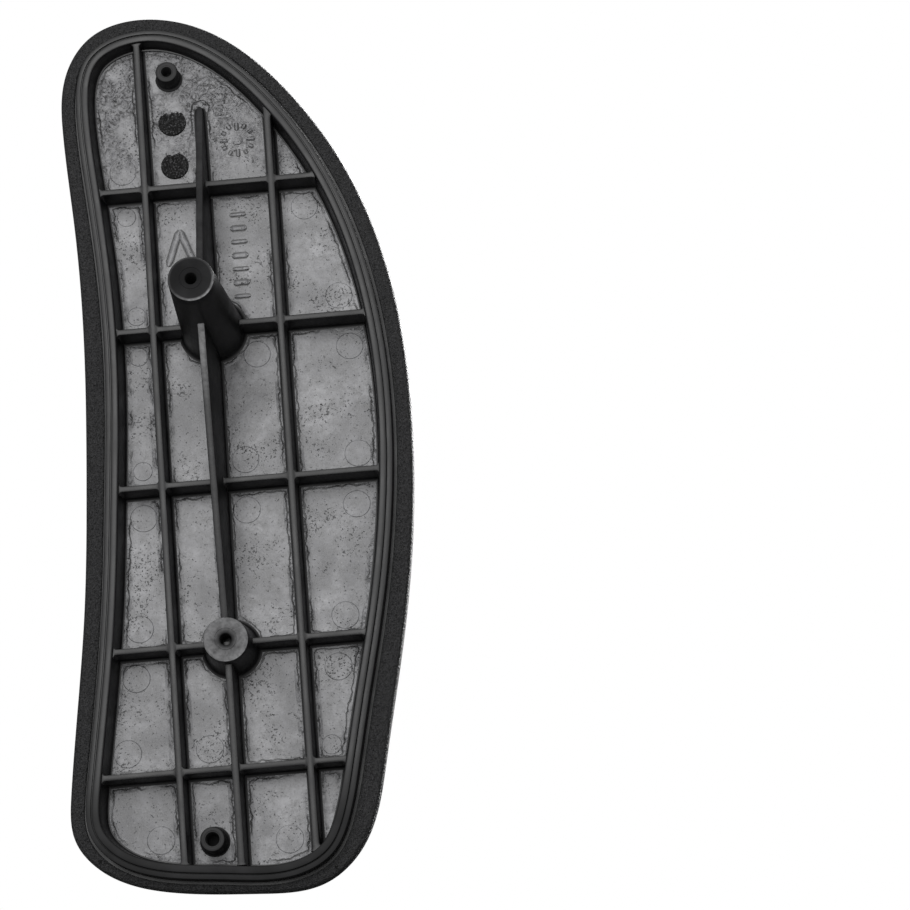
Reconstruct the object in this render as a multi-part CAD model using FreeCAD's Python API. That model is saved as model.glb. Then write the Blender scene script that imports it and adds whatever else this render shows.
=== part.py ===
import FreeCAD, Part
import math
import os
from FreeCAD import Vector

# Right-hand chair armrest pad: a ribbed nylon insert with a polyurethane pad moulded round it.
#
# Frame, in millimetres: +Z is up, towards the padded top; +Y runs along the pad to its narrow
# front end; -X is the side on which the outline bulges. The origin is the mouth of the front
# screw hole, in the middle of the tall boss's end face, where the pad meets the arm.

# ---------------------------------------------------------------- driving dimensions
RIM_Z = 39.0              # height of the insert's lower rim above the tall boss's end face

# Widest contour of the pad seen from above, as a closed smooth curve through these points (X, Y).
OUTLINE = [
    (13.6, 93.4), (29.9, 89.4), (37.8, 77.5), (39.1, 61.7), (37.0, 32.3),
    (35.9, -0.2), (37.0, -41.8), (39.2, -77.7), (42.6, -106.9), (44.9, -126.6),
    (44.4, -138.4), (37.7, -147.1), (19.0, -154.2), (-3.1, -156.3), (-21.4, -154.9),
    (-31.2, -147.2), (-39.7, -123.8), (-48.2, -83.7), (-53.4, -34.1), (-51.0, 6.4),
    (-42.3, 38.4), (-24.1, 69.6), (-5.1, 87.3),
]

# Opening in the pad's underside that the insert fills, as a closed smooth curve. The band of pad
# beside it is wide at the sides and narrow at the rear.
INSERT_OUTLINE = [
    (13.9, 88.9), (30.8, 82.5), (35.0, 62.7), (33.4, 42.0), (31.2, 16.8), (30.5, -12.8),
    (32.1, -46.4), (34.2, -75.8), (37.7, -105.1), (40.6, -125.7), (40.3, -138.2),
    (33.6, -146.4), (22.8, -151.0), (4.5, -153.4), (-14.2, -153.7), (-25.2, -148.0),
    (-29.9, -139.3), (-33.1, -127.4), (-37.2, -108.7), (-42.2, -86.5), (-46.9, -58.1),
    (-48.9, -25.1), (-46.1, 7.5), (-37.2, 38.7), (-20.9, 66.6), (-2.2, 84.0),
]
OFFSET_SAMPLES = 90       # points that carry an inset copy of an outline

# Polyurethane pad, heights above the rim
PAD_BOTTOM_Z = 4.0        # lower face of the pad, beside the insert's curb
PAD_WIDEST_Z = 6.5        # level of the widest contour
PAD_TOP_Z = 27.0          # flat middle of the padded top
PAD_BOTTOM_INSET = 1.2    # the lower outside edge is rounded by this much
PAD_SHOULDER = 15.0       # width, in plan, of the rounded shoulder
PAD_EDGE_INSET = 0.3      # the lower edge's rounding, part of the way up
PAD_EDGE_RISE = 1.0
SHOULDER_STEPS = 6        # levels that shape the shoulder
SKIN_T = 1.2              # dense outer skin of the foam

# Droop of the narrow front end and roll of the wide rear end
DROOP_R = 540.0
TOP_DROOP_Y = -5.0        # the top starts to droop here
FLOOR_DROOP_Y = 20.0      # the insert's floor starts to droop here
ROLL_R = 170.0
ROLL_Y = -121.0           # the top starts to roll down to the rear here
FAR_FRONT_Y = 110.0       # beyond the front end
FAR_REAR_Y = -175.0       # beyond the rear end

# Nylon insert, heights above the rim; insets are measured inwards from the insert's outline
TRAY_DEPTH = 9.0          # rim to underside of the floor, in the middle
FLOOR_T = 2.3
TRAY_MOUTH_INSET = 4.55   # inner edge of the wall at the rim
TRAY_DRAFT = 0.6          # the wall leans in by this much over the tray's depth
LIP_OUTER_INSET = 1.0     # outer edge of the curb at the rim
CURB_FOOT_INSET = 0.7     # foot of the curb, in the groove beside the pad
FLANGE_INSET = -0.2       # outer edge of the flange that the pad grips
FLANGE_LOW_Z = 4.8
FLANGE_TOP_Z = 6.4
WALL_OUTER_INSET = 3.6    # outside of the wall above the flange
FLOOR_EDGE_INSET = 5.6    # where the floor plate and the wall meet

# Ribs
RIB_RECESS = 0.8          # the ribs' edges lie this far above the rim plane
LONG_RIB_T = 1.9
CROSS_RIB_T = 1.6
SPINE_T = 1.9
INNER_RIB_X = (14.8, 16.5)    # on the concave side; X beyond the rear and beyond the front end
OUTER_RIB_X = (-19.9, -19.2)
CROSS_RIB_Y = [40.6, -0.5, -45.0, -89.7, -123.3]

# Spine gussets: drop below the rim plane
SPINE_TIP_Y = 65.5        # front tip
SPINE_TIP_Z = 5.6         # height of the tip above the rim, just under the floor
FRONT_GUSSET_DROP = 21.0  # at the tall boss
REAR_GUSSET_DROP = 23.0   # at the tall boss
REAR_GUSSET_END_DROP = 5.4
TAIL_DROP = 3.2           # behind the short boss
TAIL_END_Y = -149.0       # at the rear wall, where it is level with the other ribs

# Screw bosses
BOSS_PITCH = 90.0
TALL_BOSS_TOP_R = 6.1
TALL_BOSS_BASE_R = 8.6
SHORT_BOSS_DROP = 6.0     # end face of the short boss below the rim plane
SHORT_BOSS_TOP_R = 6.0
SHORT_BOSS_BASE_R = 7.2
PILOT_R = 1.6
TALL_PILOT_DEPTH = 30.0
SHORT_PILOT_DEPTH = 12.0

# Hollow locating bosses: X, Y, outer radius, socket radius, height of the free end above the rim,
# depth of the flat-ended socket
FRONT_LOCATOR = (8.2, 75.0, 3.1, 1.4, 0.8, 4.4)
REAR_LOCATOR = (7.5, -141.4, 3.3, 1.8, 2.8, 5.6)

# Holes through the floor that the foam fills, which lock the pad to the insert
LOCK_HOLE_R = 4.0
LOCK_HOLE_X = 8.1
LOCK_HOLE_Y = {"foam_lock_front": 62.2, "foam_lock_rear": 49.5}

BIG = 200.0               # half-width of the blocks that trim the shapes
TALL = 20.0               # height above the rim that clears the floor everywhere
CLEARANCE = 1.0           # how far a cutting shape runs past the face it cuts
SEW_TOLERANCE = 0.02


# ---------------------------------------------------------------- helpers
def smooth_curve(outline):
    curve = Part.BSplineCurve()
    curve.interpolate(Points=[Vector(x, y, 0) for x, y in outline], PeriodicFlag=True)
    return curve


PAD_CURVE = smooth_curve(OUTLINE)
INSERT_CURVE = smooth_curve(INSERT_OUTLINE)


def inset_wire(curve, inset, height):
    """Curve moved inwards by inset; height is a number or a function of Y, above the rim."""
    height_at = height if callable(height) else (lambda y: height)
    first = curve.FirstParameter
    span = curve.LastParameter - first
    points = []
    for i in range(OFFSET_SAMPLES):
        t = first + span * i / OFFSET_SAMPLES
        place = curve.value(t)
        along = curve.tangent(t)[0]
        x = place.x + along.y * inset
        y = place.y - along.x * inset
        points.append(Vector(x, y, RIM_Z + height_at(y)))
    ring = Part.BSplineCurve()
    ring.interpolate(Points=points, PeriodicFlag=True)
    return Part.Wire([ring.toShape()])


def insert_loft(inset_low, z_low, inset_high, z_high):
    """Solid with straight leaning sides between two insets of the insert's outline."""
    low = inset_wire(INSERT_CURVE, inset_low, z_low)
    high = inset_wire(INSERT_CURVE, inset_high, z_high)
    return Part.makeLoft([low, high], True, True)


def insert_prism(inset, z_low, z_high):
    face = Part.Face(inset_wire(INSERT_CURVE, inset, z_low))
    return face.extrude(Vector(0, 0, z_high - z_low))


def drooped(z_flat, droop_y):
    """Height as a function of Y: level at z_flat, then falling on an arc in front of droop_y."""
    def height(y):
        run = max(0.0, y - droop_y)
        return z_flat - DROOP_R + math.sqrt(DROOP_R ** 2 - run ** 2)
    return height


def below(z_flat, droop_y):
    """Block of everything under a level that droops on an arc in front of droop_y."""
    height = drooped(z_flat, droop_y)
    middle_y = (droop_y + FAR_FRONT_Y) / 2
    start = Vector(-BIG, droop_y, RIM_Z + z_flat)
    middle = Vector(-BIG, middle_y, RIM_Z + height(middle_y))
    end = Vector(-BIG, FAR_FRONT_Y, RIM_Z + height(FAR_FRONT_Y))
    rear_top = Vector(-BIG, FAR_REAR_Y, RIM_Z + z_flat)
    rear_low = Vector(-BIG, FAR_REAR_Y, -BIG)
    front_low = Vector(-BIG, FAR_FRONT_Y, -BIG)
    edges = [
        Part.makeLine(rear_low, rear_top),
        Part.makeLine(rear_top, start),
        Part.Arc(start, middle, end).toShape(),
        Part.makeLine(end, front_low),
        Part.makeLine(front_low, rear_low),
    ]
    return Part.Face(Part.Wire(edges)).extrude(Vector(2 * BIG, 0, 0))


def plate_yz(points, thickness, x=0.0):
    """Plate across X, centred on x, with a polygon of (Y, height above the rim) corners."""
    corners = [Vector(x - thickness / 2, y, RIM_Z + z) for y, z in points]
    face = Part.Face(Part.makePolygon(corners + corners[:1]))
    return face.extrude(Vector(thickness, 0, 0))


def cone(x, y, r_low, z_low, r_high, z_high):
    place = Vector(x, y, RIM_Z + z_low)
    return Part.makeCone(r_low, r_high, z_high - z_low, place)


def cylinder(x, y, radius, z_low, z_high):
    return Part.makeCylinder(radius, z_high - z_low, Vector(x, y, RIM_Z + z_low))


def save(shape, name):
    shape = shape.removeSplitter()
    if len(shape.Solids) == 1:
        shape = shape.Solids[0]
    shape.exportStep("parts/" + name + ".step")
    print(name, "solids", len(shape.Solids), "valid", shape.isValid(),
          "volume %.1f" % shape.Volume)
    return shape


# ---------------------------------------------------------------- the pad
def top_height(y):
    """Height of the padded top above the rim, with the front droop and the rear roll."""
    rear = max(0.0, ROLL_Y - y)
    roll = ROLL_R - math.sqrt(ROLL_R ** 2 - rear ** 2)
    return drooped(PAD_TOP_Z, TOP_DROOP_Y)(y) - roll


def pad_body(shrink):
    """Closed body of the pad; shrink moves its whole surface inwards, to part skin from foam."""
    widest = inset_wire(PAD_CURVE, shrink, PAD_WIDEST_Z)
    bottom_inset = PAD_BOTTOM_INSET + shrink / 3
    bottom = inset_wire(PAD_CURVE, bottom_inset, PAD_BOTTOM_Z + shrink)
    edge_z = PAD_BOTTOM_Z + PAD_EDGE_RISE + shrink / 2
    edge = inset_wire(PAD_CURVE, PAD_EDGE_INSET + shrink, edge_z)
    wires = [bottom, edge, widest]
    for step in range(1, SHOULDER_STEPS + 1):
        angle = math.radians(90.0 * step / SHOULDER_STEPS)
        inset = shrink + (PAD_SHOULDER - shrink) * (1 - math.cos(angle))

        def level(y, rise=math.sin(angle)):
            return PAD_WIDEST_Z + (top_height(y) - shrink - PAD_WIDEST_Z) * rise
        wires.append(inset_wire(PAD_CURVE, inset, level))
    side = Part.makeLoft(wires, False, False)
    base = Part.Face(bottom)
    crown = Part.makeFilledFace(wires[-1].Edges)
    skin = Part.makeCompound(side.Faces + [base, crown])
    skin.sewShape(SEW_TOLERANCE)
    body = Part.Solid(skin.Shells[0])
    if body.Volume < 0:
        body.reverse()
    return body


# ---------------------------------------------------------------- the insert
def insert_envelope():
    """Outside of the insert with its tray filled in."""
    curb = insert_loft(LIP_OUTER_INSET, 0.0, CURB_FOOT_INSET, FLANGE_LOW_Z)
    flange = insert_prism(FLANGE_INSET, FLANGE_LOW_Z, FLANGE_TOP_Z)
    upper = insert_prism(WALL_OUTER_INSET, FLANGE_TOP_Z, TRAY_DEPTH + FLOOR_T + CLEARANCE)
    solid = curb.fuse([flange, upper])
    return solid.common(below(TRAY_DEPTH + FLOOR_T, FLOOR_DROOP_Y)).removeSplitter()


def tray_space():
    """Hollow of the tray, up to the underside of the floor."""
    room = insert_loft(TRAY_MOUTH_INSET, 0.0, TRAY_MOUTH_INSET + TRAY_DRAFT, TRAY_DEPTH)
    return room.common(below(TRAY_DEPTH, FLOOR_DROOP_Y))


def floor_slab():
    upper = below(TRAY_DEPTH + FLOOR_T, FLOOR_DROOP_Y)
    return upper.cut(below(TRAY_DEPTH, FLOOR_DROOP_Y))


def make_floor():
    plate = insert_prism(FLOOR_EDGE_INSET, 0.0, TALL).common(floor_slab())
    for y in LOCK_HOLE_Y.values():
        plate = plate.cut(cylinder(LOCK_HOLE_X, y, LOCK_HOLE_R, 0.0, TALL))
    return plate


def make_wall(envelope, tray):
    floor_zone = insert_prism(FLOOR_EDGE_INSET, 0.0, TALL).common(floor_slab())
    return envelope.cut(tray).cut(floor_zone)


def make_boss(y, r_end, z_end, r_base, pilot_depth):
    boss = cone(0.0, y, r_end, z_end, r_base, TRAY_DEPTH)
    return boss.cut(cylinder(0.0, y, PILOT_R, z_end - CLEARANCE, z_end + pilot_depth))


def make_locator(x, y, r_outer, r_socket, z_end, socket_depth):
    post = cylinder(x, y, r_outer, z_end, TALL)
    post = post.common(below(TRAY_DEPTH, FLOOR_DROOP_Y))
    return post.cut(cylinder(x, y, r_socket, z_end - CLEARANCE, z_end + socket_depth))


def rib_along(x_rear, x_front, tray):
    """Long rib from end wall to end wall, a little out of line with the spine."""
    half = LONG_RIB_T / 2
    level = RIM_Z + RIB_RECESS
    corners = [
        Vector(x_rear - half, FAR_REAR_Y, level), Vector(x_rear + half, FAR_REAR_Y, level),
        Vector(x_front + half, FAR_FRONT_Y, level), Vector(x_front - half, FAR_FRONT_Y, level),
    ]
    face = Part.Face(Part.makePolygon(corners + corners[:1]))
    return face.extrude(Vector(0, 0, TRAY_DEPTH)).common(tray)


def rib_across(y, tray):
    low = Vector(-BIG, y - CROSS_RIB_T / 2, RIM_Z + RIB_RECESS)
    return Part.makeBox(2 * BIG, CROSS_RIB_T, TRAY_DEPTH, low).common(tray)


def spine_plates(tray):
    """The three lengths of the tall middle rib: front gusset, rear gusset and tail."""
    front = [(SPINE_TIP_Y, TALL), (SPINE_TIP_Y, SPINE_TIP_Z), (0.0, -FRONT_GUSSET_DROP),
             (0.0, TALL)]
    beside_short_boss = SHORT_BOSS_TOP_R - BOSS_PITCH
    rear = [(0.0, TALL), (0.0, -REAR_GUSSET_DROP), (beside_short_boss, -REAR_GUSSET_END_DROP),
            (-BOSS_PITCH, -REAR_GUSSET_END_DROP), (-BOSS_PITCH, TALL)]
    tail = [(-BOSS_PITCH, TALL), (-BOSS_PITCH, -TAIL_DROP), (TAIL_END_Y, RIB_RECESS),
            (FAR_REAR_Y, RIB_RECESS), (FAR_REAR_Y, TALL)]
    under_floor = below(TRAY_DEPTH, FLOOR_DROOP_Y)
    corner = Vector(-SPINE_T, TAIL_END_Y, 0.0)
    under_tray = Part.makeBox(2 * SPINE_T, -TAIL_END_Y, RIM_Z, corner)
    front_plate = plate_yz(front, SPINE_T).common(under_floor)
    rear_plate = plate_yz(rear, SPINE_T).common(under_floor)
    tail_plate = plate_yz(tail, SPINE_T).common(tray.fuse(under_tray))
    return front_plate, rear_plate, tail_plate


# ---------------------------------------------------------------- build
def main():
    os.makedirs("parts", exist_ok=True)
    envelope = insert_envelope()
    tray = tray_space()

    tall = make_boss(0.0, TALL_BOSS_TOP_R, -RIM_Z, TALL_BOSS_BASE_R, TALL_PILOT_DEPTH)
    short = make_boss(-BOSS_PITCH, SHORT_BOSS_TOP_R, -SHORT_BOSS_DROP, SHORT_BOSS_BASE_R,
                      SHORT_PILOT_DEPTH)
    tall_room = cone(0.0, 0.0, TALL_BOSS_TOP_R, -RIM_Z, TALL_BOSS_BASE_R, TRAY_DEPTH)
    short_room = cone(0.0, -BOSS_PITCH, SHORT_BOSS_TOP_R, -SHORT_BOSS_DROP, SHORT_BOSS_BASE_R,
                      TRAY_DEPTH)
    save(make_floor(), "insert_floor")
    save(make_wall(envelope, tray), "insert_wall")
    save(tall, "tall_boss")
    save(short, "short_boss")
    save(make_locator(*FRONT_LOCATOR), "front_locating_boss")
    save(make_locator(*REAR_LOCATOR), "rear_locating_boss")

    front_plate, rear_plate, tail_plate = spine_plates(tray)
    front_plate = front_plate.cut(tall_room)
    rear_plate = rear_plate.cut(tall_room).cut(short_room)
    tail_plate = tail_plate.cut(short_room)
    save(front_plate, "spine_front_gusset")
    save(rear_plate, "spine_rear_gusset")
    save(tail_plate, "spine_tail_rib")

    inner_rib = rib_along(*INNER_RIB_X, tray)
    outer_rib = rib_along(*OUTER_RIB_X, tray)
    save(inner_rib, "inner_long_rib")
    save(outer_rib, "outer_long_rib")

    crossing = [inner_rib, outer_rib, front_plate, rear_plate, tail_plate, tall_room, short_room]
    for number, y in enumerate(CROSS_RIB_Y, start=1):
        rib = rib_across(y, tray)
        for other in crossing:
            rib = rib.cut(other)
        save(rib, "cross_rib_%d" % number)

    for name, y in LOCK_HOLE_Y.items():
        hole = cylinder(LOCK_HOLE_X, y, LOCK_HOLE_R, 0.0, TALL)
        save(hole.common(floor_slab()), name)

    outer = pad_body(0.0)
    inner = pad_body(SKIN_T)
    groove = insert_prism(0.0, 0.0, FLANGE_LOW_Z)
    save(outer.cut(inner).cut(groove).cut(envelope), "pad_skin")
    foam = inner.cut(envelope)
    split = below(TRAY_DEPTH + FLOOR_T, FLOOR_DROOP_Y)
    save(foam.cut(split), "foam_core")
    save(foam.common(split), "foam_rim")


main()
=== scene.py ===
"""Looks of the right-hand chair armrest pad: a ribbed black nylon insert in a polyurethane pad.

Lengths in this script are in millimetres and heights are above the insert's lower rim, towards the
padded top, unless a name says otherwise. Meshes are turned into metres when they are made.
"""

import math

import bmesh
import bpy
import numpy as np
from mathutils import Matrix, Vector, noise


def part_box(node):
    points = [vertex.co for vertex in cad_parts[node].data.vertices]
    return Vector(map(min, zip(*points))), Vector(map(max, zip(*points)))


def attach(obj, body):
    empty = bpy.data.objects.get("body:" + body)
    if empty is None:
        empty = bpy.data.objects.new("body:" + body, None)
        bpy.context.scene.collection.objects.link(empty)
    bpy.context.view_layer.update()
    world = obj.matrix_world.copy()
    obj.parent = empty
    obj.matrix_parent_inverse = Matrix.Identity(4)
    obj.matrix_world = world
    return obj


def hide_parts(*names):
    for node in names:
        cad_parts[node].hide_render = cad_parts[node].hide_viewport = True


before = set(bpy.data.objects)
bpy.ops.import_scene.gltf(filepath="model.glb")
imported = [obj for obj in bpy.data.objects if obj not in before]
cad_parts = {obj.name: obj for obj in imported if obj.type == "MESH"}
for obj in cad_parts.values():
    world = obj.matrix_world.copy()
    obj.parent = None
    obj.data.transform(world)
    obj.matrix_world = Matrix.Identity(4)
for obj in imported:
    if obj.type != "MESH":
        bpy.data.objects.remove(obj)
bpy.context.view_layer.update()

MM = 0.001


def node_box(name):
    """Lowest and highest corner of a CAD node, in millimetres."""
    low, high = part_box(name)
    return np.array(low) / MM, np.array(high) / MM


def node_middle(name):
    low, high = node_box(name)
    return (low + high) / 2


# ---------------------------------------------------------------- driving dimensions
RIM_Z = node_box("insert_wall")[0][2]     # row height of the rim, where heights start

# Widest contour of the pad, a closed smooth curve; the first point is the front end.
OUTLINE = [
    (13.6, 93.4), (29.9, 89.4), (37.8, 77.5), (39.1, 61.7), (37.0, 32.3),
    (35.9, -0.2), (37.0, -41.8), (39.2, -77.7), (42.6, -106.9), (44.9, -126.6),
    (44.4, -138.4), (37.7, -147.1), (19.0, -154.2), (-3.1, -156.3), (-21.4, -154.9),
    (-31.2, -147.2), (-39.7, -123.8), (-48.2, -83.7), (-53.4, -34.1), (-51.0, 6.4),
    (-42.3, 38.4), (-24.1, 69.6), (-5.1, 87.3),
]

# Opening in the pad's underside that the insert fills; the first point is the front end.
INSERT_OUTLINE = [
    (13.9, 88.9), (30.8, 82.5), (35.0, 62.7), (33.4, 42.0), (31.2, 16.8), (30.5, -12.8),
    (32.1, -46.4), (34.2, -75.8), (37.7, -105.1), (40.6, -125.7), (40.3, -138.2),
    (33.6, -146.4), (22.8, -151.0), (4.5, -153.4), (-14.2, -153.7), (-25.2, -148.0),
    (-29.9, -139.3), (-33.1, -127.4), (-37.2, -108.7), (-42.2, -86.5), (-46.9, -58.1),
    (-48.9, -25.1), (-46.1, 7.5), (-37.2, 38.7), (-20.9, 66.6), (-2.2, 84.0),
]
REAR_POINT = 13           # each outline's point at the rear end
AROUND = 480              # points in each ring that follows the outline
CURVE_STEPS = 60          # points in each stretch of the outline before it is spaced evenly

# Padded cover
PAD_WIDEST = 6.5
PAD_TOP = 27.0
SHOULDER = 15.0
CROWN = 0.8
TOP_DROOP_Y = -5.0
FLOOR_DROOP_Y = 20.0
DROOP_R = 540.0
ROLL_Y = -121.0
ROLL_R = 170.0

# Insert; insets are measured from its own outline
TRAY_DEPTH = 9.0
FLOOR_T = 2.3
MOUTH_INSET = 4.55        # inner edge of the wall at the rim
WALL_LEAN = 0.067         # the wall leans in by this much for each millimetre of depth
FLANGE = -0.2             # outer edge of the flange inside the pad
WALL_OUTSIDE = 3.6
DULL_RIM_Y = (-140.0, -95.0)          # the rim is matt behind the first Y, satin ahead of the other
DULL_RIM = 0.75                       # roughness of its matt end
RIM_BAND = 1.2                        # height of what counts as the rim
FLOOR_EDGE = 5.3
FAR_ENDS = (-175.0, 110.0)            # Y beyond the rear and beyond the front end
LONG_RIB_X = {"inner_long_rib": (14.8, 16.5), "outer_long_rib": (-19.9, -19.2)}   # X there
RIB_LEVEL = 0.8
LONG_RIB_T = 1.9
CROSS_RIB_T = 1.6
SPINE_T = 1.9
RIB_DRAFT = 0.017         # each side of a rib leans by about one degree
CORNER_R = 0.9            # rounding where ribs and walls meet, seen in plan
RIB_STEP = 0.4            # spacing of a rib's cross-sections

SPINE_TIP = (65.5, 5.6)   # Y and height
FRONT_GUSSET_DROP = 21.0
REAR_GUSSET_DROP = 23.0
REAR_GUSSET_END_DROP = 5.4
TAIL_DROP = 3.2
TAIL_END_Y = -149.0

BOSS_PITCH = 90.0
TALL_R = (6.1, 8.6)       # end and base
SHORT_R = (6.0, 7.2)
SHORT_DROP = 6.0
PILOT_R = 1.6
PILOT_DEPTH = {"tall_boss": 30.0, "short_boss": 12.0}
RUBBED = {"tall_boss": 0.0, "short_boss": 0.42}      # how far each end face is rubbed grey
FACE_DULL = {"tall_boss": 0.95, "short_boss": 0.72}  # roughness of each end face
LOCATOR_HOLE_R = {"front_locating_boss": 1.4, "rear_locating_boss": 1.8}
LOCK_R = 4.0

# Ejector marks left on the floor: X, Y, radius
BIG_MARK = 3.9
SMALL_MARK = 2.8
EJECTOR_MARKS = [
    (-3.3, 69.9, BIG_MARK), (22.9, 48.8, BIG_MARK), (-27.6, 34.2, BIG_MARK),
    (-35.5, 7.3, BIG_MARK), (-11.7, -7.7, BIG_MARK), (-37.5, -7.6, BIG_MARK),
    (-6.7, -37.5, BIG_MARK), (-37.8, -38.4, BIG_MARK), (22.1, -51.7, BIG_MARK),
    (-6.3, -51.7, BIG_MARK), (-36.4, -52.6, BIG_MARK), (24.7, -82.4, BIG_MARK),
    (-31.2, -83.2, BIG_MARK), (26.3, -95.9, BIG_MARK), (-28.4, -97.1, BIG_MARK),
    (29.6, -116.1, BIG_MARK), (7.5, -116.6, BIG_MARK), (21.9, -139.9, BIG_MARK),
    (-12.4, -142.3, BIG_MARK), (-23.9, 46.5, SMALL_MARK), (22.6, 35.5, SMALL_MARK),
    (21.2, 6.2, SMALL_MARK), (21.2, -5.6, SMALL_MARK), (21.7, -38.4, SMALL_MARK),
    (-25.2, -118.0, SMALL_MARK),
]
VENT_DOTS = [(16.7, 90.6), (37.6, -144.8), (7.6, -154.6), (-24.8, -151.2)]


# ---------------------------------------------------------------- the outline and its distances
def smooth_loop(points):
    """Dense points along the closed cubic spline through the given points."""
    p = np.array(points, float)
    count = len(p)
    step = np.linalg.norm(np.roll(p, -1, 0) - p, axis=1)
    back = np.roll(step, 1)
    system = np.diag(2 * (1 / back + 1 / step))
    for i in range(count):
        system[i, i - 1] += 1 / back[i]
        system[i, (i + 1) % count] += 1 / step[i]
    pull = (np.roll(p, -1, 0) - p) / step[:, None] ** 2
    slope = np.linalg.solve(system, 3 * (pull + np.roll(pull, 1, 0)))
    u = (np.arange(CURVE_STEPS) / CURVE_STEPS)[:, None]
    pieces = []
    for i in range(count):
        j = (i + 1) % count
        start = p[i] * (2 * u ** 3 - 3 * u ** 2 + 1) + slope[i] * step[i] * (u ** 3 - 2 * u ** 2 + u)
        end = p[j] * (3 * u ** 2 - 2 * u ** 3) + slope[j] * step[i] * (u ** 3 - u ** 2)
        pieces.append(start + end)
    return np.concatenate(pieces)


def spaced(points, count):
    """Evenly spaced points along an open line, without its last point."""
    run = np.r_[0, np.cumsum(np.linalg.norm(np.diff(points, axis=0), axis=1))]
    wanted = np.arange(count) / count * run[-1]
    return np.c_[np.interp(wanted, run, points[:, 0]), np.interp(wanted, run, points[:, 1])]


class Contour:
    """A smooth closed line seen from above: AROUND points, the first at the front end."""

    def __init__(self, corners):
        dense = smooth_loop(corners)
        rear = REAR_POINT * CURVE_STEPS
        front_to_rear = spaced(dense[:rear + 1], AROUND // 2)
        rear_to_front = spaced(np.r_[dense[rear:], dense[:1]], AROUND // 2)
        self.points = np.r_[front_to_rear, rear_to_front]
        along = np.roll(self.points, -1, 0) - np.roll(self.points, 1, 0)
        along /= np.linalg.norm(along, axis=1)[:, None]
        self.inward = np.c_[along[:, 1], -along[:, 0]]

    def moved_in(self, inset):
        """The line moved inwards; inset is a number or one value a point."""
        return self.points + self.inward * np.broadcast_to(inset, (AROUND,))[:, None]

    def depth_of(self, places):
        """How far each place lies inside the line."""
        places = np.atleast_2d(places)
        found = np.empty(len(places))
        for start in range(0, len(places), 2000):
            part = places[start:start + 2000]
            gaps = part[:, None] - self.points[None]
            nearest = (gaps ** 2).sum(2).argmin(1)
            gap = gaps[np.arange(len(part)), nearest]
            found[start:start + 2000] = (gap * self.inward[nearest]).sum(1)
        return found


PAD = Contour(OUTLINE)
INSERT = Contour(INSERT_OUTLINE)


def droop(y, start):
    run = np.maximum(0.0, np.asarray(y, float) - start)
    return DROOP_R - np.sqrt(DROOP_R ** 2 - run ** 2)


def floor_height(y):
    return TRAY_DEPTH - droop(y, FLOOR_DROOP_Y)


def top_height(y):
    rear = np.maximum(0.0, ROLL_Y - np.asarray(y, float))
    return PAD_TOP - droop(y, TOP_DROOP_Y) - (ROLL_R - np.sqrt(ROLL_R ** 2 - rear ** 2))


def wall_inset(height):
    """Inset of the wall's inner side at a height."""
    return MOUTH_INSET + WALL_LEAN * height


# ---------------------------------------------------------------- mesh making
class Surface:
    """Points and faces of one piece, built up ring by ring."""

    def __init__(self):
        self.points = np.zeros((0, 3))
        self.faces = []

    def add(self, xy, height):
        start = len(self.points)
        xy = np.atleast_2d(xy)
        heights = np.broadcast_to(height, (len(xy),))
        self.points = np.r_[self.points, np.c_[xy, heights]]
        return start

    def ring(self, contour, inset, height):
        """A ring that follows a contour; inset and height are numbers or one value a point."""
        return self.add(contour.moved_in(inset), height)

    def ring_between(self, a, b, share):
        """A ring part of the way from ring a to ring b."""
        mixed = self.points[a:a + AROUND] * (1 - share) + self.points[b:b + AROUND] * share
        return self.add(mixed[:, :2], mixed[:, 2])

    def join(self, a, b, count=AROUND, closed=True):
        for i in range(count if closed else count - 1):
            j = (i + 1) % count
            self.faces.append((a + i, a + j, b + j, b + i))

    def close_disc(self, start, columns, height_at):
        """Fills a ring with straight rows that run from side to side."""
        half = AROUND // 2
        ring = self.points[start:start + AROUND, :2]
        share = (np.arange(1, columns) / columns)[None, :, None]
        first = ring[1:half][:, None]
        last = ring[:half:-1][:, None]
        inner = (first * (1 - share) + last * share).reshape(-1, 2)
        base = self.add(inner, height_at(inner))

        def index(row, column):
            if row in (0, half) or column == 0:
                return start + row
            if column == columns:
                return start + AROUND - row
            return base + (row - 1) * (columns - 1) + column - 1

        for row in range(half):
            for column in range(columns):
                corners = [index(row, column), index(row, column + 1),
                           index(row + 1, column + 1), index(row + 1, column)]
                self.faces.append(tuple(dict.fromkeys(corners)))

    def merge(self, other):
        start = len(self.points)
        self.points = np.r_[self.points, other.points]
        self.faces += [tuple(start + i for i in face) for face in other.faces]

    def build(self, name, material, slot, replaces=(), sharp_degrees=40.0, subdivide=0):
        mesh = bpy.data.meshes.new(name)
        row = self.points + [0.0, 0.0, RIM_Z]
        mesh.from_pydata((row * MM).tolist(), [], self.faces)
        tidy = bmesh.new()
        tidy.from_mesh(mesh)
        bmesh.ops.recalc_face_normals(tidy, faces=tidy.faces)
        tidy.to_mesh(mesh)
        tidy.free()
        mesh.shade_smooth()
        mesh.set_sharp_from_angle(angle=math.radians(sharp_degrees))
        mesh.materials.append(material)
        piece = bpy.data.objects.new(name, mesh)
        bpy.context.scene.collection.objects.link(piece)
        if subdivide:
            piece.modifiers.new("Smooth", "SUBSURF").levels = subdivide
            piece.modifiers["Smooth"].render_levels = subdivide
        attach(piece, "root")
        if replaces:
            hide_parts(*replaces)
        return piece


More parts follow.
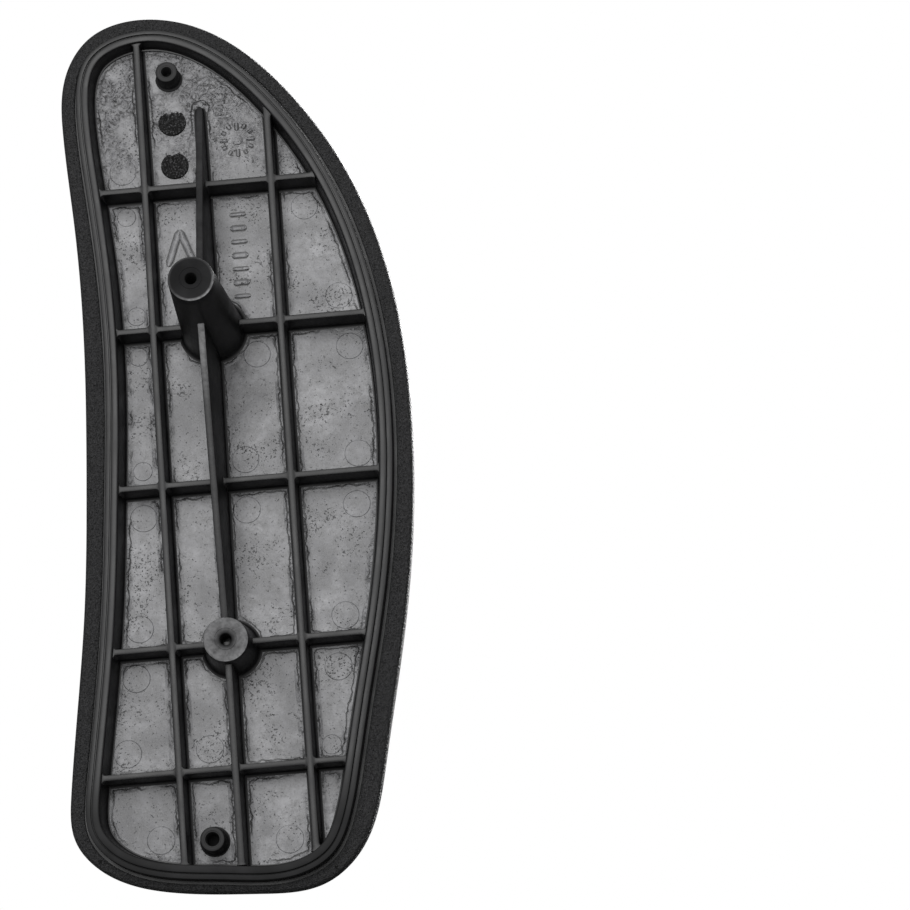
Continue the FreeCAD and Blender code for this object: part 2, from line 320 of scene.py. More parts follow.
def lathe(profile, x, y, steps=96):
    """Surface turned about a vertical axis; the profile is (radius, height) points."""
    turned = Surface()
    angle = np.arange(steps) / steps * 2 * math.pi
    circle = np.c_[np.cos(angle), np.sin(angle)]
    rings = []
    for radius, height in profile:
        if radius == 0:
            rings.append((turned.add([(x, y)], height), True))
        else:
            rings.append((turned.add(circle * radius + [x, y], height), False))
    for (a, a_point), (b, b_point) in zip(rings, rings[1:]):
        for i in range(steps):
            j = (i + 1) % steps
            corners = [a if a_point else a + i, a if a_point else a + j,
                       b if b_point else b + j, b if b_point else b + i]
            turned.faces.append(tuple(dict.fromkeys(corners)))
    return turned


def ridge(path, side, half_left, half_right, top, foot):
    """Closed rib along a straight path: rounded top edges, leaning sides, a flared foot."""
    path = np.asarray(path, float)
    lean = RIB_DRAFT * (foot - top)
    sunk = foot + 0.6
    section = [(0.85, None, sunk), (0.85, None, foot), (0.30, None, foot - 0.10),
               (0.08, None, foot - 0.35), (0.0, None, foot - 0.8), (0.0, "top", top + 0.30),
               (-0.09, "top", top + 0.09), (-0.30, "top", top)]
    surface = Surface()
    lines = []
    for sign, half in ((1, half_left), (-1, half_right)):
        order = section if sign == 1 else section[::-1]
        for extra, at_top, height in order:
            width = half + extra + (0.0 if at_top else lean)
            lines.append(surface.add(path + side * (sign * width)[:, None], height))
    count = len(path)
    for a, b in zip(lines, lines[1:] + lines[:1]):
        surface.join(a, b, count, closed=False)
    surface.faces.append(tuple(lines))
    surface.faces.append(tuple(line + count - 1 for line in lines[::-1]))
    return surface


def flare(gap):
    """Extra half-thickness of a rib at a distance from what it runs into."""
    near = np.clip(gap, 0.0, CORNER_R)
    return CORNER_R - np.sqrt(CORNER_R ** 2 - (CORNER_R - near) ** 2)


def wall_gap(points):
    return INSERT.depth_of(points) - wall_inset(RIB_LEVEL)


# ---------------------------------------------------------------- materials
class Shader:
    """A node material with object coordinates in millimetres at hand."""

    def __init__(self, name):
        self.material = bpy.data.materials.new(name)
        self.material.use_nodes = True
        self.nodes = self.material.node_tree.nodes
        self.links = self.material.node_tree.links
        self.surface = self.nodes["Principled BSDF"]
        coordinates = self.nodes.new("ShaderNodeTexCoord")
        scale = self.nodes.new("ShaderNodeVectorMath")
        scale.operation = "SCALE"
        scale.inputs["Scale"].default_value = 1 / MM
        self.links.new(coordinates.outputs["Object"], scale.inputs[0])
        self.place = scale.outputs[0]

    def set(self, **values):
        for name, value in values.items():
            self.surface.inputs[name.replace("_", " ")].default_value = value

    def noise(self, size, detail=2.0, roughness=0.5, distortion=0.0):
        """Noise whose features are about size millimetres across."""
        node = self.nodes.new("ShaderNodeTexNoise")
        node.inputs["Scale"].default_value = 1 / size
        node.inputs["Detail"].default_value = detail
        node.inputs["Roughness"].default_value = roughness
        node.inputs["Distortion"].default_value = distortion
        self.links.new(self.place, node.inputs["Vector"])
        return node.outputs[0]

    def cells(self, size, output="Distance", feature="F1"):
        node = self.nodes.new("ShaderNodeTexVoronoi")
        node.feature = feature
        node.inputs["Scale"].default_value = 1 / size
        self.links.new(self.place, node.inputs["Vector"])
        return node.outputs[output]

    def along(self, axis):
        """One of the row's coordinates, in millimetres."""
        node = self.nodes.new("ShaderNodeSeparateXYZ")
        self.links.new(self.place, node.inputs[0])
        return node.outputs[axis]

    def attribute(self, name):
        node = self.nodes.new("ShaderNodeAttribute")
        node.attribute_name = name
        return node.outputs["Fac"]

    def math(self, operation, a, b=0.0):
        node = self.nodes.new("ShaderNodeMath")
        node.operation = operation
        for socket, value in zip(node.inputs, (a, b)):
            if isinstance(value, (int, float)):
                socket.default_value = value
            else:
                self.links.new(value, socket)
        return node.outputs[0]

    def spread(self, value, low, high, to_low=0.0, to_high=1.0):
        """Maps low..high to to_low..to_high, held at the ends."""
        node = self.nodes.new("ShaderNodeMapRange")
        for socket, number in zip(node.inputs[1:5], (low, high, to_low, to_high)):
            socket.default_value = number
        self.links.new(value, node.inputs[0])
        return node.outputs[0]

    def blend(self, factor, a, b):
        """Colour that goes from a to b."""
        node = self.nodes.new("ShaderNodeMix")
        node.data_type = "RGBA"
        self.links.new(factor, node.inputs["Factor"])
        for socket, value in ((node.inputs["A"], a), (node.inputs["B"], b)):
            if isinstance(value, tuple):
                socket.default_value = (*value, 1.0)
            else:
                self.links.new(value, socket)
        return node.outputs["Result"]

    def bump(self, height, strength, distance, under=None):
        node = self.nodes.new("ShaderNodeBump")
        node.inputs["Strength"].default_value = strength
        node.inputs["Distance"].default_value = distance * MM
        self.links.new(height, node.inputs["Height"])
        if under is not None:
            self.links.new(under, node.inputs["Normal"])
        return node.outputs["Normal"]

    def use(self, socket, value):
        self.links.new(value, self.surface.inputs[socket])


def pebbled_skin():
    """Self-skinned polyurethane: fine pebble grain with a soft sheen."""
    shader = Shader("Pebbled polyurethane skin")
    shader.set(IOR=1.45, Specular_IOR_Level=0.27, Sheen_Weight=0.02, Sheen_Roughness=0.5)
    grain = shader.cells(0.6, feature="SMOOTH_F1")
    fine = shader.noise(0.42, detail=3.0, roughness=0.6)
    broad = shader.noise(14.0, detail=3.0)
    shader.use("Base Color", shader.blend(shader.spread(fine, 0.35, 0.7),
                                          (0.002, 0.002, 0.0022), (0.022, 0.022, 0.023)))
    shader.use("Roughness", shader.spread(broad, 0.3, 0.7, 0.42, 0.54))
    body = shader.bump(broad, 0.12, 0.5)
    pebbles = shader.bump(grain, 1.0, 0.45, body)
    shader.use("Normal", shader.bump(fine, 1.0, 0.55, pebbles))
    return shader.material


def satin_nylon():
    """Moulded nylon: faint mould texture, edges rubbed grey where worn, duller where turned."""
    shader = Shader("Satin moulded nylon")
    shader.set(IOR=1.5, Specular_IOR_Level=0.25)
    fine = shader.noise(0.5, detail=4.0)
    broad = shader.noise(9.0, detail=4.0, distortion=0.6)
    patchy = shader.spread(shader.noise(1.6, detail=5.0, roughness=0.65), 0.3, 0.62, 0.3, 1.0)
    wear = shader.math("MULTIPLY", shader.attribute("wear"), patchy)
    dark = shader.blend(shader.spread(broad, 0.35, 0.7),
                        (0.002, 0.002, 0.0022), (0.008, 0.008, 0.0085))
    shader.use("Base Color", shader.blend(wear, dark, (0.24, 0.24, 0.245)))
    satin = shader.spread(broad, 0.3, 0.75, 0.38, 0.52)
    shader.use("Roughness", shader.math("MAXIMUM", satin, shader.attribute("dull")))
    body = shader.bump(broad, 0.18, 0.25)
    shader.use("Normal", shader.bump(fine, 0.35, 0.06, body))
    return shader.material


def glossy_floor():
    """Semi-gloss moulded floor: speckled, with flow lines along the ribs; its cloudy grey is a painted
    reflection of the softbox on black nylon.
    """
    shader = Shader("Glossy nylon floor")
    shader.set(IOR=1.5, Specular_IOR_Level=0.32)
    gap = shader.attribute("rib_gap")
    clouds = shader.noise(13.0, detail=4.0, distortion=0.7)
    mottle = shader.noise(2.6, detail=8.0, roughness=0.74)
    crinkle = shader.noise(2.0, detail=4.0, roughness=0.6, distortion=2.2)
    grit = shader.noise(0.62, detail=3.0, roughness=0.68)
    patches = shader.spread(shader.noise(10.0, detail=3.0), 0.50, 0.62)
    beside = shader.math("MULTIPLY", shader.spread(gap, 0.2, 0.7),
                         shader.spread(gap, 1.3, 2.4, 1.0, 0.0))
    beside = shader.math("MULTIPLY", beside, shader.spread(shader.noise(7.0, detail=3.0), 0.42, 0.58))
    front = shader.math("MULTIPLY", shader.spread(shader.along("Y"), 40.0, 62.0),
                        shader.spread(shader.noise(8.0, detail=3.0), 0.36, 0.52))
    rough_zone = shader.math("MAXIMUM", beside, front)
    wander = shader.math("MULTIPLY", shader.math("SUBTRACT", shader.noise(3.2, detail=3.0), 0.5), 2.4)
    off_line = shader.math("ABSOLUTE", shader.math("SUBTRACT", shader.math("ADD", gap, wander), 1.5))
    line = shader.math("MULTIPLY", shader.spread(off_line, 0.10, 0.24, 1.0, 0.0),
                       shader.spread(shader.noise(14.0, detail=2.0), 0.44, 0.54))
    grit_level = shader.math("ADD", grit, shader.math("MULTIPLY", patches, 0.07))
    pit = shader.spread(grit_level, 0.655, 0.70)
    fleck = shader.spread(grit_level, 0.30, 0.38, 1.0, 0.0)
    # Painted reflection: the black nylon floor is coloured grey in clouds in place of the softbox's
    # reflection; the ribs keep the nylon's own near-black.
    cloudy_painted_reflection = shader.blend(shader.spread(clouds, 0.3, 0.7),
                          (0.062, 0.062, 0.066), (0.185, 0.185, 0.192))
    plain = shader.blend(shader.spread(mottle, 0.30, 0.62), (0.024, 0.024, 0.025), cloudy_painted_reflection)
    wrinkled = shader.blend(shader.spread(crinkle, 0.40, 0.56),
                            (0.003, 0.003, 0.003), (0.13, 0.13, 0.135))
    colour = shader.blend(shader.math("MULTIPLY", rough_zone, 0.75), plain, wrinkled)
    colour = shader.blend(shader.math("MULTIPLY", fleck, 0.4), colour, (0.16, 0.16, 0.165))
    # Dark marks: flow lines and pits of the moulding, plus painted shade, near black, round the feet of
    # the raised symbols.
    marks = shader.math("MAXIMUM", shader.math("MAXIMUM", line, pit), shader.attribute("foot_shade"))
    shader.use("Base Color", shader.blend(marks, colour, (0.001, 0.001, 0.001)))
    shader.use("Roughness", shader.spread(mottle, 0.32, 0.7, 0.30, 0.46))
    slow = shader.bump(clouds, 0.4, 0.5)
    wrinkles = shader.bump(shader.math("MULTIPLY", crinkle, rough_zone), 1.0, 0.45, slow)
    grain = shader.bump(mottle, 0.6, 0.14, wrinkles)
    shader.use("Normal", shader.bump(shader.math("SUBTRACT", 1.0, marks), 0.8, 0.12, grain))
    return shader.material


def raw_foam():
    """Open foam where it fills a hole: rough, matt, nearly black."""
    shader = Shader("Raw polyurethane foam")
    shader.set(Specular_IOR_Level=0.16)
    lumps = shader.cells(0.8)
    fine = shader.noise(0.45, detail=4.0, roughness=0.65)
    shader.use("Base Color", shader.blend(shader.spread(fine, 0.54, 0.68),
                                          (0.0015, 0.0015, 0.0015), (0.07, 0.07, 0.072)))
    shader.use("Roughness", shader.spread(fine, 0.3, 0.7, 0.55, 0.85))
    shader.use("Normal", shader.bump(lumps, 1.0, 0.45))
    return shader.material


def plain_floor():
    shader = Shader("Pale studio floor")
    shader.set(Roughness=0.9, Specular_IOR_Level=0.1)
    shade = shader.noise(900.0)
    shader.use("Base Color", shader.blend(shade, (0.86, 0.86, 0.86), (0.89, 0.89, 0.89)))
    return shader.material


SKIN = pebbled_skin()
NYLON = satin_nylon()
GLOSS = glossy_floor()
FOAM = raw_foam()


# ---------------------------------------------------------------- padded cover
def cover_height(xy):
    """Height of the padded top: a rounded shoulder, then a slight crown."""
    depth = PAD.depth_of(xy)
    share = np.clip(depth / SHOULDER, 0.0, 1.0)
    rise = np.sqrt(1 - (1 - share) ** 2)
    crown = CROWN * np.clip((depth - SHOULDER * 0.5) / (2 * SHOULDER), 0.0, 1.0) ** 0.8
    return PAD_WIDEST + (top_height(xy[:, 1]) - PAD_WIDEST) * rise + crown


def pad_cover():
    over_floor = floor_height(INSERT.points[:, 1]) + FLOOR_T
    inner_side = [
        (WALL_OUTSIDE, over_floor), (WALL_OUTSIDE, 6.5), (FLANGE, 6.4), (FLANGE, 4.8),
        (-0.1, 4.75), (-0.05, 4.6), (-0.08, 4.25), (-0.25, 4.06), (-0.45, 4.0),
    ]
    outer_side = [
        (1.65, 4.03), (1.1, 4.13), (0.65, 4.34), (0.3, 4.75), (0.1, 5.4), (0.0, PAD_WIDEST),
    ]
    surface = Surface()
    inner_rings = [surface.ring(INSERT, inset, height) for inset, height in inner_side]
    outer_rings = [surface.ring(PAD, inset, height) for inset, height in outer_side]
    band = [surface.ring_between(inner_rings[-1], outer_rings[0], share) for share in (0.2, 0.8)]
    rings = inner_rings + band + outer_rings
    for degrees in (8, 16, 24, 32, 40, 48, 56, 63, 70):
        inset = SHOULDER * (1 - math.cos(math.radians(degrees)))
        rings.append(surface.ring(PAD, inset, cover_height(PAD.moved_in(inset))))
    for a, b in zip(rings, rings[1:]):
        surface.join(a, b)
    surface.close_disc(rings[0], 12, lambda xy: floor_height(xy[:, 1]) + FLOOR_T)
    surface.close_disc(rings[-1], 44, cover_height)
    ripple = [0.05 * noise.noise(Vector(p) / 9.0) for p in surface.points]
    surface.points[:, 2] += ripple
    cover = surface.build("padded_cover", SKIN, "pad_skin", ("pad_skin", "foam_core", "foam_rim"),
                          sharp_degrees=70.0, subdivide=1)


def vent_dots():
    """Small pips left by the mould's vents in the band of skin round the insert."""
    dots = Surface()
    for x, y in VENT_DOTS:
        pip = [(0.0, 3.86), (0.3, 3.87), (0.5, 3.93), (0.6, 4.05), (0.6, 4.4), (0.0, 4.4)]
        dots.merge(lathe(pip, x, y, 24))
    dots.build("vent_pips", FOAM, "pad_skin")


def lock_plugs():
    """Foam that has risen through the two lock holes in the floor."""
    for name in ("foam_lock_front", "foam_lock_rear"):
        x, y, _ = node_middle(name)
        level = float(floor_height(y))
        profile = [(0.0, level - 0.22)]
        profile += [(r, level - 0.22) for r in (0.4, 0.8, 1.2, 1.6, 2.0, 2.4, 2.8, 3.2)]
        profile += [(LOCK_R - 0.2, level - 0.2), (LOCK_R, level + 0.1)]
        profile += [(LOCK_R, level + 0.8), (0.0, level + 0.8)]
        plug = lathe(profile, x, y, 64)
        lumps = plug.points[:, 2] < level - 0.1
        for index in np.nonzero(lumps)[0]:
            plug.points[index, 2] += 0.13 * noise.noise(Vector(plug.points[index]) / 0.7)
        plug.build(name + "_plug", FOAM, "foam", (name,))


# ---------------------------------------------------------------- insert
def insert_wall():
    """Wall of the tray with its lip, the fine step beside it and the curb that the pad meets."""
    depth = floor_height(INSERT.points[:, 1])
    section = [
        (0.72, 4.8), (0.8, 1.3), (0.84, 0.75), (0.95, 0.5), (1.15, 0.42), (2.08, 0.42),
        (2.14, 0.9), (2.42, 0.9), (2.48, 0.3), (2.6, 0.1), (2.9, 0.0), (3.4, 0.0), (3.95, 0.0),
        (4.28, 0.06), (4.46, 0.2), (4.54, 0.5), (wall_inset(1.0), 1.0),
        (wall_inset(depth * 0.45), depth * 0.45), (wall_inset(depth - 1.0), depth - 1.0),
        (wall_inset(depth - 0.4) + 0.08, depth - 0.4), (wall_inset(depth) + 0.3, depth - 0.08),
        (wall_inset(depth) + 0.65, depth), (wall_inset(depth) + 0.65, depth + 0.7),
        (4.9, depth + FLOOR_T), (WALL_OUTSIDE, depth + FLOOR_T), (WALL_OUTSIDE, 6.4),
        (FLANGE, 6.4), (FLANGE, 4.8),
    ]
    surface = Surface()
    rings = [surface.ring(INSERT, inset, height) for inset, height in section]
    for a, b in zip(rings, rings[1:] + rings[:1]):
        surface.join(a, b)
    piece = surface.build("tray_wall", NYLON, "nylon", ("insert_wall",), sharp_degrees=38.0)

    def dull(places):
        near_rim = places[:, 2] < RIM_BAND
        return np.where(near_rim, np.interp(places[:, 1], DULL_RIM_Y, (DULL_RIM, 0.0)), 0.0)
    mark(piece, "dull", dull)


def long_rib_x(name, y):
    return np.interp(y, FAR_ENDS, LONG_RIB_X[name])


CROSS_Y = [node_middle("cross_rib_%d" % number)[1] for number in range(1, 6)]


def rib_gap(xy):
    """Distance from floor points to the nearest rib, wall or boss."""
    gaps = [INSERT.depth_of(xy) - wall_inset(floor_height(xy[:, 1]))]
    gaps += [abs(xy[:, 0] - long_rib_x(name, xy[:, 1])) - LONG_RIB_T / 2 for name in LONG_RIB_X]
    gaps += [abs(xy[:, 1] - y) - CROSS_RIB_T / 2 for y in CROSS_Y]
    spine = np.hypot(xy[:, 0], np.maximum(0.0, xy[:, 1] - SPINE_TIP[0])) - SPINE_T / 2
    gaps.append(spine)
    gaps.append(np.hypot(xy[:, 0], xy[:, 1]) - TALL_R[1])
    gaps.append(np.hypot(xy[:, 0], xy[:, 1] + BOSS_PITCH) - SHORT_R[1])
    return np.maximum(0.0, np.min(gaps, axis=0))


def insert_floor():
    depth = floor_height(INSERT.points[:, 1])
    surface = Surface()
    edge = surface.ring(INSERT, FLOOR_EDGE, depth)
    upper = surface.ring(INSERT, FLOOR_EDGE, depth + FLOOR_T - 0.05)
    surface.join(edge, upper)
    surface.close_disc(edge, 80, lambda xy: floor_height(xy[:, 1]))
    surface.close_disc(upper, 8, lambda xy: floor_height(xy[:, 1]) + FLOOR_T - 0.05)
    floor = surface.build("tray_floor", GLOSS, "nylon_floor", ("insert_floor",))
    mark_gaps(floor)


def mark_gaps(piece):
    """Stores each point's distance to the nearest rib for the floor's material."""
    mark(piece, "rib_gap", lambda places: rib_gap(places[:, :2]))


def mark(piece, attribute, value_at):
    """Stores value_at(points) on the piece under a name that its material reads."""
    places = np.array([v.co for v in piece.data.vertices], float) / MM - [0.0, 0.0, RIM_Z]
    store = piece.data.attributes.new(attribute, "FLOAT", "POINT")
    store.data.foreach_set("value", value_at(places).astype(np.float32))


def buried_span(place, low, high):
    """Path positions from wall to wall; place(t) gives the point at t."""
    steps = np.arange(low, high, RIB_STEP)
    inside = INSERT.depth_of(place(steps)) > wall_inset(0.0) - 0.4
    return steps[inside]


def long_ribs():
    for name in LONG_RIB_X:
        steps = buried_span(lambda t, name=name: np.c_[long_rib_x(name, t), t], *FAR_ENDS)
        path = np.c_[long_rib_x(name, steps), steps]
        side = np.array([1.0, 0.0])
        half = LONG_RIB_T / 2
        left = half + flare(wall_gap(path + side * half))
        right = half + flare(wall_gap(path - side * half))
        rib = ridge(path, side, left, right, RIB_LEVEL, floor_height(steps))
        rib.build(name + "_moulded", NYLON, "nylon", (name,))


def cross_ribs():
    half = CROSS_RIB_T / 2
    side = np.array([0.0, 1.0])
    for number, y in enumerate(CROSS_Y, start=1):
        steps = buried_span(lambda t, y=y: np.c_[t, np.full(len(t), y)], -70.0, 60.0)
        path = np.c_[steps, np.full(len(steps), y)]
        beside = [abs(steps - long_rib_x(name, y)) - LONG_RIB_T / 2 for name in LONG_RIB_X]
        beside.append(abs(steps) - SPINE_T / 2)
        nearest = np.min(beside, axis=0)
        left = half + flare(np.minimum(nearest, wall_gap(path + side * half)))
        right = half + flare(np.minimum(nearest, wall_gap(path - side * half)))
        rib = ridge(path, side, left, right, RIB_LEVEL + 0.02, floor_height(np.full(len(steps), y)))
        rib.build("cross_rib_%d_moulded" % number, NYLON, "nylon", ("cross_rib_%d" % number,))


def gusset(name, ends, nose=0.0):
    """One length of the spine; ends are two (Y, height) points of its free edge."""
    edge_y, edge_height = zip(*sorted(ends))
    steps = np.arange(edge_y[0], edge_y[-1] + RIB_STEP / 2, RIB_STEP)
    path = np.c_[np.zeros(len(steps)), steps]
    top = np.interp(steps, edge_y, edge_height)
    half = np.full(len(steps), SPINE_T / 2)
    if nose:
        run = np.clip((steps[-1] - steps) / nose, 0.0, 1.0)
        half = half * (0.35 + 0.65 * np.sqrt(1 - (1 - run) ** 2))
    side = np.array([1.0, 0.0])
    extra = flare(wall_gap(path)) if name == "spine_tail_rib" else 0.0
    rib = ridge(path, side, half + extra, half + extra, top, floor_height(steps))
    piece = rib.build(name + "_moulded", NYLON, "nylon", (name,))

    def edge_wear(places):
        on_edge = places[:, 2] < np.interp(places[:, 1], edge_y, edge_height) + 0.2
        high = np.clip((-places[:, 2] - 17.0) / 4.0, 0.0, 1.0)
        return np.where(on_edge, 0.04 + 0.5 * high * (places[:, 1] < 0), 0.0)
    mark(piece, "wear", edge_wear)


def spine():
    tip_y, tip_z = SPINE_TIP
    gusset("spine_front_gusset", [(tip_y, tip_z), (0.0, -FRONT_GUSSET_DROP)], nose=3.0)
    short_edge = SHORT_R[0] - BOSS_PITCH
    gusset("spine_rear_gusset", [(0.0, -REAR_GUSSET_DROP), (short_edge, -REAR_GUSSET_END_DROP)])
    gusset("spine_tail_rib", [(-BOSS_PITCH, -TAIL_DROP), (TAIL_END_Y, RIB_LEVEL)])


def boss_profile(end, r_end, r_base, depth, foot):
    """Screw boss with a lead-in at its pilot hole, a turned ring on its face and a filleted base."""
    lean = (r_base - r_end) / (foot - end)
    return [
        (0.0, end + depth), (PILOT_R - 0.5, end + depth - 0.1), (PILOT_R - 0.1, end + depth - 0.6),
        (PILOT_R, end + 1.2), (PILOT_R, end + 0.12), (PILOT_R + 0.1, end),
        (2.75, end), (2.85, end + 0.14), (3.0, end + 0.14),
        (3.1, end), (r_end - 0.75, end), (r_end - 0.35, end + 0.05), (r_end - 0.1, end + 0.2),
        (r_end + 0.02, end + 0.5), (r_end + lean * 4, end + 4.0),
        (r_base - lean * 3, foot - 3.0), (r_base, foot - 1.0), (r_base + 0.25, foot - 0.4),
        (r_base + 0.6, foot - 0.1), (r_base + 1.1, foot), (r_base + 1.1, foot + 0.8), (0.0, foot + 0.8),
    ]


def screw_bosses():
    places = {
        "tall_boss": (0.0, -RIM_Z, TALL_R),
        "short_boss": (-BOSS_PITCH, -SHORT_DROP, SHORT_R),
    }
    for name, (y, end, (r_end, r_base)) in places.items():
        profile = boss_profile(end, r_end, r_base, PILOT_DEPTH[name], TRAY_DEPTH)
        piece = lathe(profile, 0.0, y, 128).build(name + "_moulded", NYLON, "nylon", (name,),
                                                  sharp_degrees=32.0)

        def face_wear(places, y=y, end=end, r_end=r_end, rubbed=RUBBED[name]):
            across, along = places[:, 0], places[:, 1] - y
            radius = np.hypot(across, along)
            crescent = np.clip((-0.5 * across - 0.85 * along) / r_end, 0.15, 1.0)
            rim = np.exp(-((radius - r_end + 0.15) / 0.3) ** 2) * crescent
            face = np.clip((radius - 2.0) / 1.5, 0.0, 1.0) * rubbed
            return np.where(places[:, 2] < end + 0.35, np.maximum(rim, face), 0.0)

        def face_dull(places, y=y, end=end, dull=FACE_DULL[name]):
            in_hole = np.hypot(places[:, 0], places[:, 1] - y) < PILOT_R + 0.15
            return np.where(in_hole, 1.0, np.where(places[:, 2] < end + 0.3, dull, 0.0))
        mark(piece, "wear", face_wear)
        mark(piece, "dull", face_dull)


def locating_bosses():
    for name, hole_r in LOCATOR_HOLE_R.items():
        low, high = node_box(name)
        x, y = (low + high)[:2] / 2
        outer_r = (high - low)[0] / 2
        end = low[2] - RIM_Z
        foot = float(floor_height(y))
        profile = [
            (0.0, foot - 0.3), (hole_r - 0.15, foot - 0.35), (hole_r, foot - 1.0), (hole_r, end + 0.4),
            (hole_r + 0.15, end + 0.12), (hole_r + 0.4, end + 0.1), (hole_r + 0.5, end + 0.02),
            (outer_r - 0.6, end), (outer_r - 0.2, end + 0.12), (outer_r, end + 0.45),
            (outer_r + 0.1, foot - 0.8), (outer_r + 0.3, foot - 0.25), (outer_r + 0.8, foot + 0.02),
            (outer_r + 0.8, foot + 0.8), (0.0, foot + 0.8),
        ]
        piece = lathe(profile, x, y, 72).build(name + "_moulded", NYLON, "nylon", (name,),
                                               sharp_degrees=32.0)

        def dull(places, x=x, y=y, hole_r=hole_r):
            return np.where(np.hypot(places[:, 0] - x, places[:, 1] - y) < hole_r + 0.1, 1.0, 0.62)
        mark(piece, "dull", dull)


# ---------------------------------------------------------------- moulded marks on the floor
def ejector_marks():
    """Round marks of the ejector pins, each a disc with a fine raised edge."""
    marks = Surface()
    for x, y, radius in EJECTOR_MARKS:
        level = float(floor_height(y))
        tilt = float(floor_height(y + 1) - floor_height(y - 1)) / 2
        profile = [(0.0, -0.12), (radius * 0.5, -0.12), (radius - 0.3, -0.12), (radius, 0.06),
                   (0.0, 0.06)]
        disc = lathe([(r, level + z) for r, z in profile], x, y, 64)
        disc.points[:, 2] += (disc.points[:, 1] - y) * tilt
        marks.merge(disc)
    piece = marks.build("ejector_marks", GLOSS, "nylon_floor", sharp_degrees=15.0)
    mark_gaps(piece)


def raised_bar(x_a, y_a, x_b, y_b, width=1.0, height=0.35):
    """Low rounded bar between two points of the floor."""
    start = np.array([x_a, y_a])
    along = np.array([x_b, y_b]) - start
    length = np.linalg.norm(along)
    along /= length
    side = np.array([-along[1], along[0]])
    run = np.linspace(0.0, length, 9)
    path = start + along * run[:, None]
    end_gap = np.minimum(run, length - run)
    half = width / 2 * np.sqrt(np.clip(1 - (1 - np.clip(end_gap / (width / 2), 0, 1)) ** 2, 0.05, 1))
    foot = floor_height(path[:, 1])
    surface = Surface()
    lines = []
    section = [(0.36, 0.2), (0.34, -0.03), (0.04, -0.06), (0.0, -height * 0.7), (-0.12, -height)]
    for sign, order in ((1, section), (-1, section[::-1])):
        for extra, drop in order:
            reach = np.maximum(half + extra, 0.05)
            lines.append(surface.add(path + side * (sign * reach)[:, None], foot + drop))
    for a, b in zip(lines, lines[1:] + lines[:1]):
        surface.join(a, b, len(path), closed=False)
    surface.faces.append(tuple(lines))
    surface.faces.append(tuple(line + len(path) - 1 for line in lines[::-1]))
    return surface


CHEVRON = [(4.2, 20.0), (7.9, 30.5), (11.6, 20.0)]
BAR_ENDS_X = (-11.0, -6.4)
FIRST_BAR_Y = 9.5
BAR_PITCH = 4.0
DIAL_CENTRE = (-10.0, 55.5)
DIAL_R = 5.0
TICK_START = 3.6
LONG_TICK_START = 2.7


def floor_symbols():
    """Plain raised shapes: a chevron that tells the hand, a row of bars and a dial with ticks, with
    painted shade round their feet.
    """
    symbols = Surface()
    for start, end in zip(CHEVRON, CHEVRON[1:]):
        symbols.merge(raised_bar(*start, *end, width=1.7))
    for count in range(7):
        y = FIRST_BAR_Y + BAR_PITCH * count
        bar = raised_bar(BAR_ENDS_X[0], y, BAR_ENDS_X[1], y, width=0.9 + 0.5 * (count % 2))
        symbols.merge(bar)
    for tick in range(12):
        angle = math.radians(30.0 * tick)
        near = TICK_START if tick % 3 else LONG_TICK_START
        c, s = math.cos(angle), math.sin(angle)
        x, y = DIAL_CENTRE
        symbols.merge(raised_bar(x + near * c, y + near * s, x + DIAL_R * c, y + DIAL_R * s,
                                 width=0.7))
    level = float(floor_height(DIAL_CENTRE[1]))
    hub = [(0.0, level - 0.3), (1.2, level - 0.3), (1.5, level - 0.2), (1.6, level + 0.2),
           (0.0, level + 0.2)]
    symbols.merge(lathe(hub, *DIAL_CENTRE, steps=40))
    piece = symbols.build("moulded_symbols", GLOSS, "nylon_floor", sharp_degrees=45.0)
    mark_gaps(piece)

    # Painted shade: the floor colour goes near black at the foot of each raised shape.
    def painted_shade_at_foot(places):
        return np.where(places[:, 2] > floor_height(places[:, 1]) - 0.08, 1.0, 0.0)
    mark(piece, "foot_shade", painted_shade_at_foot)


# ---------------------------------------------------------------- studio
ROOM_LIGHT = 0.06         # strength of the white room's light; the camera sees it as white
STUDIO_FLOOR_Z = -1.2     # metres; below the camera, which looks up at the underside
CAMERA_PLACE = Vector((-0.0821, -0.2358, -0.7053))
CAMERA_AIM = Vector((-0.0644, -0.0436, 0.0390))
CAMERA_ROLL = math.radians(-4.57)
CAMERA_LENS = 112.4


# Each softbox: name, place, aim (metres), width, depth, radiance.
SOFTBOXES = [
    ("softbox_below", (0.08, 0.175, -0.70), (0.0, -0.03, 0.048), 0.42, 0.75, 8.5),
    ("softbox_above", (-0.9, 0.9, 1.5), (0.0, -0.03, 0.04), 1.2, 1.2, 20.0),
]


def point_at(thing, place, aim, roll=0.0):
    """Places a light or camera and turns it to look at a point, the row's +Y up in its view."""
    forward = (aim - place).normalized()
    right = forward.cross(Vector((0, 1, 0))).normalized()
    up = right.cross(forward)
    turn = Matrix((right, up, -forward)).transposed()
    thing.matrix_world = Matrix.Translation(place) @ turn.to_4x4() @ Matrix.Rotation(roll, 4, "Z")


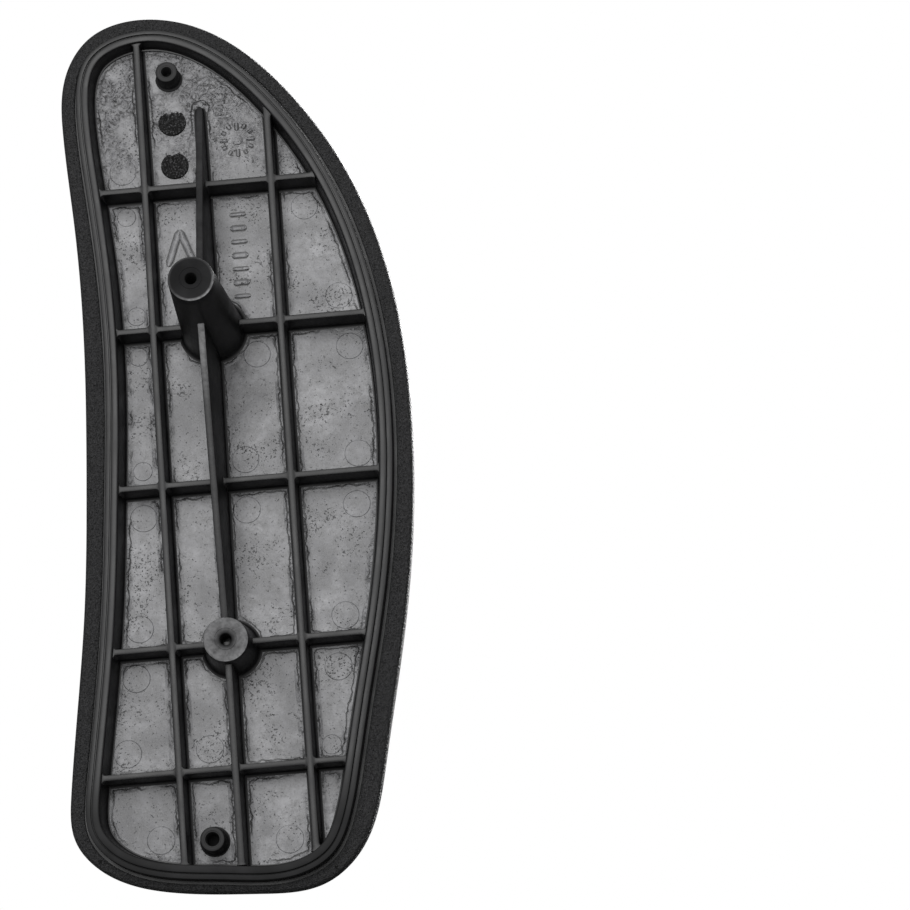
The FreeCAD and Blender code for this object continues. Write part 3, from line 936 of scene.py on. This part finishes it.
def studio():
    floor_mesh = bpy.data.meshes.new("studio_floor")
    reach = 12.0
    corners = [(-reach, -reach, 0), (reach, -reach, 0), (reach, reach, 0), (-reach, reach, 0)]
    floor_mesh.from_pydata(corners, [], [(0, 1, 2, 3)])
    floor_mesh.materials.append(plain_floor())
    floor = bpy.data.objects.new("studio_floor", floor_mesh)
    floor.location.z = STUDIO_FLOOR_Z
    bpy.context.scene.collection.objects.link(floor)

    world = bpy.data.worlds.new("Studio")
    bpy.context.scene.world = world
    world.use_nodes = True
    nodes = world.node_tree.nodes
    links = world.node_tree.links
    dim = nodes["Background"]
    dim.inputs["Color"].default_value = (1.0, 1.0, 1.0, 1.0)
    dim.inputs["Strength"].default_value = ROOM_LIGHT
    bright = nodes.new("ShaderNodeBackground")
    bright.inputs["Color"].default_value = (1.0, 1.0, 1.0, 1.0)
    seen = nodes.new("ShaderNodeLightPath")
    choose = nodes.new("ShaderNodeMixShader")
    links.new(seen.outputs["Is Camera Ray"], choose.inputs[0])
    links.new(dim.outputs[0], choose.inputs[1])
    links.new(bright.outputs[0], choose.inputs[2])
    links.new(choose.outputs[0], nodes["World Output"].inputs["Surface"])


def soft_light(name, place, aim, width, depth, radiance):
    data = bpy.data.lights.new(name, "AREA")
    data.shape = "RECTANGLE"
    data.size = width
    data.size_y = depth
    data.energy = radiance * math.pi * width * depth
    light = bpy.data.objects.new(name, data)
    light.visible_camera = False
    bpy.context.scene.collection.objects.link(light)
    point_at(light, Vector(place), Vector(aim))


def lights():
    for softbox in SOFTBOXES:
        soft_light(*softbox)


def camera():
    data = bpy.data.cameras.new("camera")
    data.lens = CAMERA_LENS
    data.sensor_width = 36.0
    data.clip_end = 100.0
    eye = bpy.data.objects.new("camera", data)
    bpy.context.scene.collection.objects.link(eye)
    point_at(eye, CAMERA_PLACE, CAMERA_AIM, CAMERA_ROLL)
    bpy.context.scene.camera = eye
    bpy.context.scene.view_settings.view_transform = "Standard"


# ---------------------------------------------------------------- everything
pad_cover()
vent_dots()
lock_plugs()
insert_wall()
insert_floor()
long_ribs()
cross_ribs()
spine()
screw_bosses()
locating_bosses()
ejector_marks()
floor_symbols()
studio()
lights()
camera()
